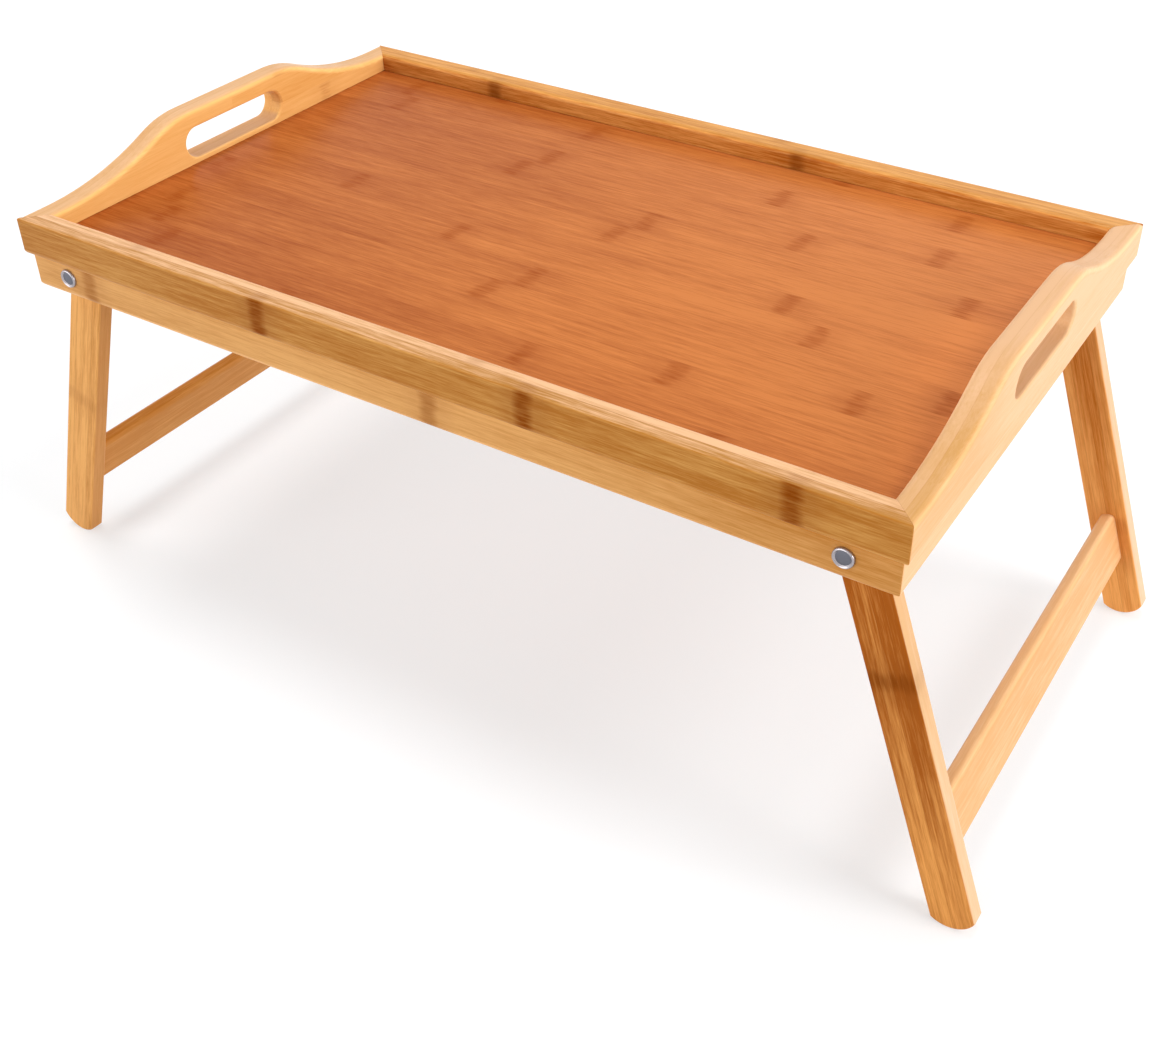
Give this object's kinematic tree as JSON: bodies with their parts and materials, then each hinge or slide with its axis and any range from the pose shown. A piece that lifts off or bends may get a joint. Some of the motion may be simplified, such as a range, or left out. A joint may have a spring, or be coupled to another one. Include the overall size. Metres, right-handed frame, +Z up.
{
  "type": "bed tray table",
  "caption": "Bamboo bed tray on two folding leg frames: shallow mitred tray with raised grip boards, each with a hand slot, over a set-back apron.",
  "frame": {"origin": "on the floor under the middle of the tray, legs open", "axes": "+X along the long side towards the right-hand grip board, +Y towards the back, +Z up"},
  "size_m": [0.5956, 0.296, 0.2482],
  "materials": {
    "rail_bamboo": "satin lacquer over carbonised side-pressed bamboo",
    "board_bamboo": "satin lacquer over side-pressed bamboo",
    "floor_bamboo": "satin lacquer over plain-pressed bamboo veneer",
    "apron_bamboo": "satin lacquer over side-pressed bamboo",
    "leg_bamboo": "satin lacquer over side-pressed bamboo",
    "joinery_wood": "bare",
    "rivet_metal": "bright nickel plate",
    "washer_metal": "plain zinc plate"
  },
  "bodies": {
    "tray": {"front_rail": "rail_bamboo", "back_rail": "rail_bamboo", "right_grip_board": "board_bamboo", "left_grip_board": "board_bamboo", "floor_panel": "floor_bamboo", "front_apron": "apron_bamboo", "back_apron": "apron_bamboo", "right_end_apron": "apron_bamboo", "left_end_apron": "apron_bamboo", "rail_corner_splines": "joinery_wood", "apron_corner_splines": "joinery_wood", "apron_dowels": "joinery_wood", "front_right_rivet": "rivet_metal", "front_left_rivet": "rivet_metal", "back_right_rivet": "rivet_metal", "back_left_rivet": "rivet_metal", "spacer_washers": "washer_metal", "tail_washers": "washer_metal"},
    "right_leg_frame": {"right_front_leg": "leg_bamboo", "right_back_leg": "leg_bamboo", "right_stretcher": "leg_bamboo", "right_stretcher_dowels": "joinery_wood"},
    "left_leg_frame": {"left_front_leg": "leg_bamboo", "left_back_leg": "leg_bamboo", "left_stretcher": "leg_bamboo", "left_stretcher_dowels": "joinery_wood"}
  },
  "joints": [
    {"name": "right_fold", "type": "hinge", "parent": "tray", "child": "right_leg_frame", "pos_m": [0.22198, 0, 0.19899], "axis": [0, 1, 0], "range_deg": [0, 108.7]},
    {"name": "left_fold", "type": "hinge", "parent": "tray", "child": "left_leg_frame", "pos_m": [-0.22198, 0, 0.19899], "axis": [0, -1, 0], "range_deg": [0, 108.7]}
  ]
}
